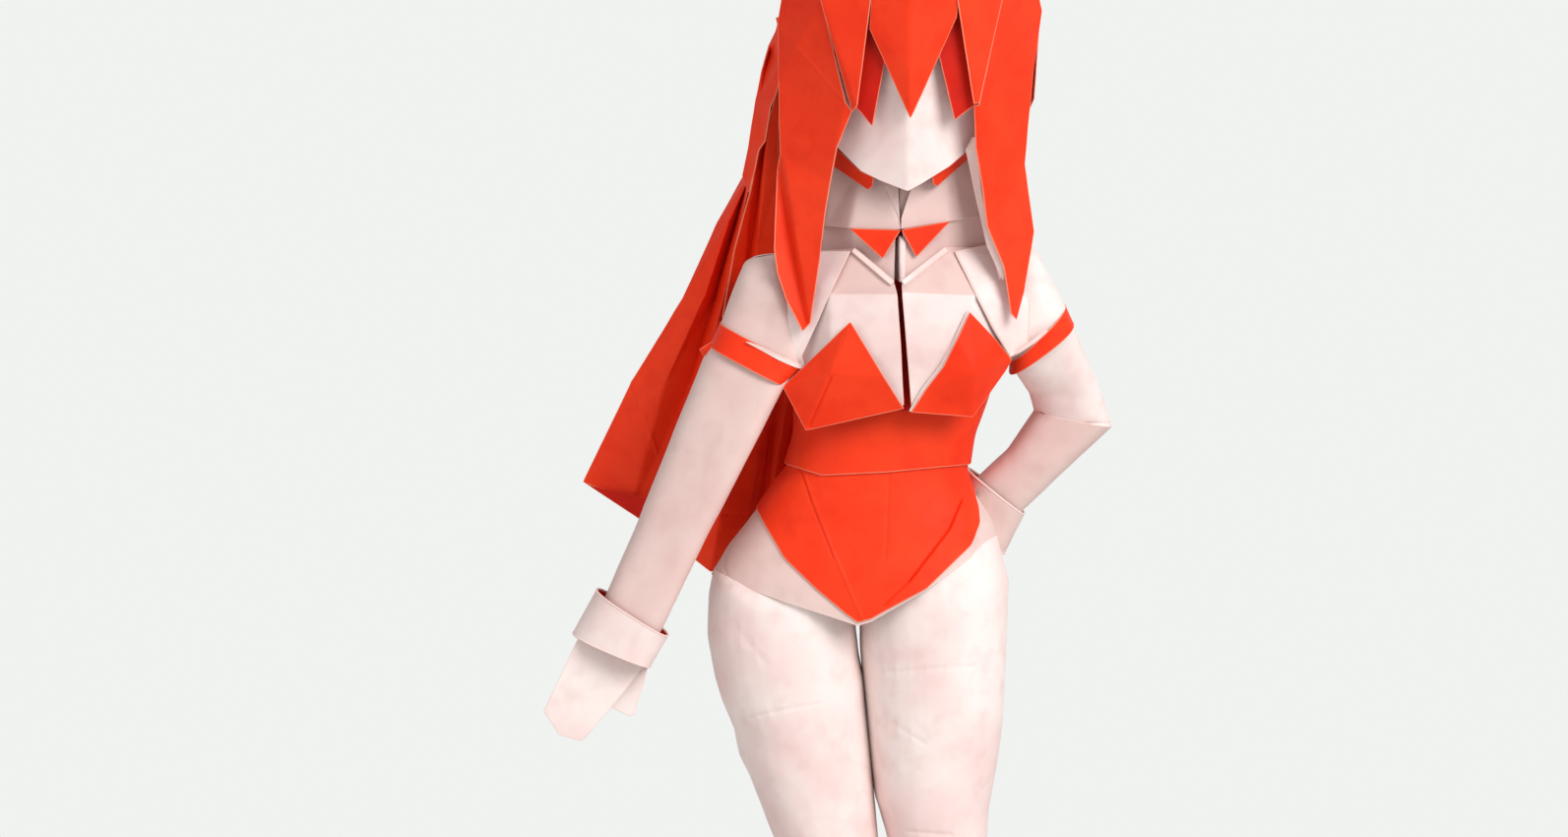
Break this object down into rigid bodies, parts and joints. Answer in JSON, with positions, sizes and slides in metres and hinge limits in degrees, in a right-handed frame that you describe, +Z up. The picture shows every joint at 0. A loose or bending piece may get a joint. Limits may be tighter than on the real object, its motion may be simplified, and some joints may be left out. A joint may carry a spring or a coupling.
{
  "type": "origami bunny girl figure",
  "caption": "Standing figure folded from one sheet of red and pale paper, with long ears, long swept hair, bent arms and two flat soles.",
  "frame": {"origin": "on the floor, under the middle of the figure's outline", "axes": "+Z up along the figure's height, the figure faces -Y, +X to the viewer's right as seen from the front"},
  "size_m": [0.0966, 0.05, 0.2966],
  "materials": {
    "folded_paper": "satin"
  },
  "bodies": {
    "root": {"origami_figure": "folded_paper"}
  },
  "joints": []
}
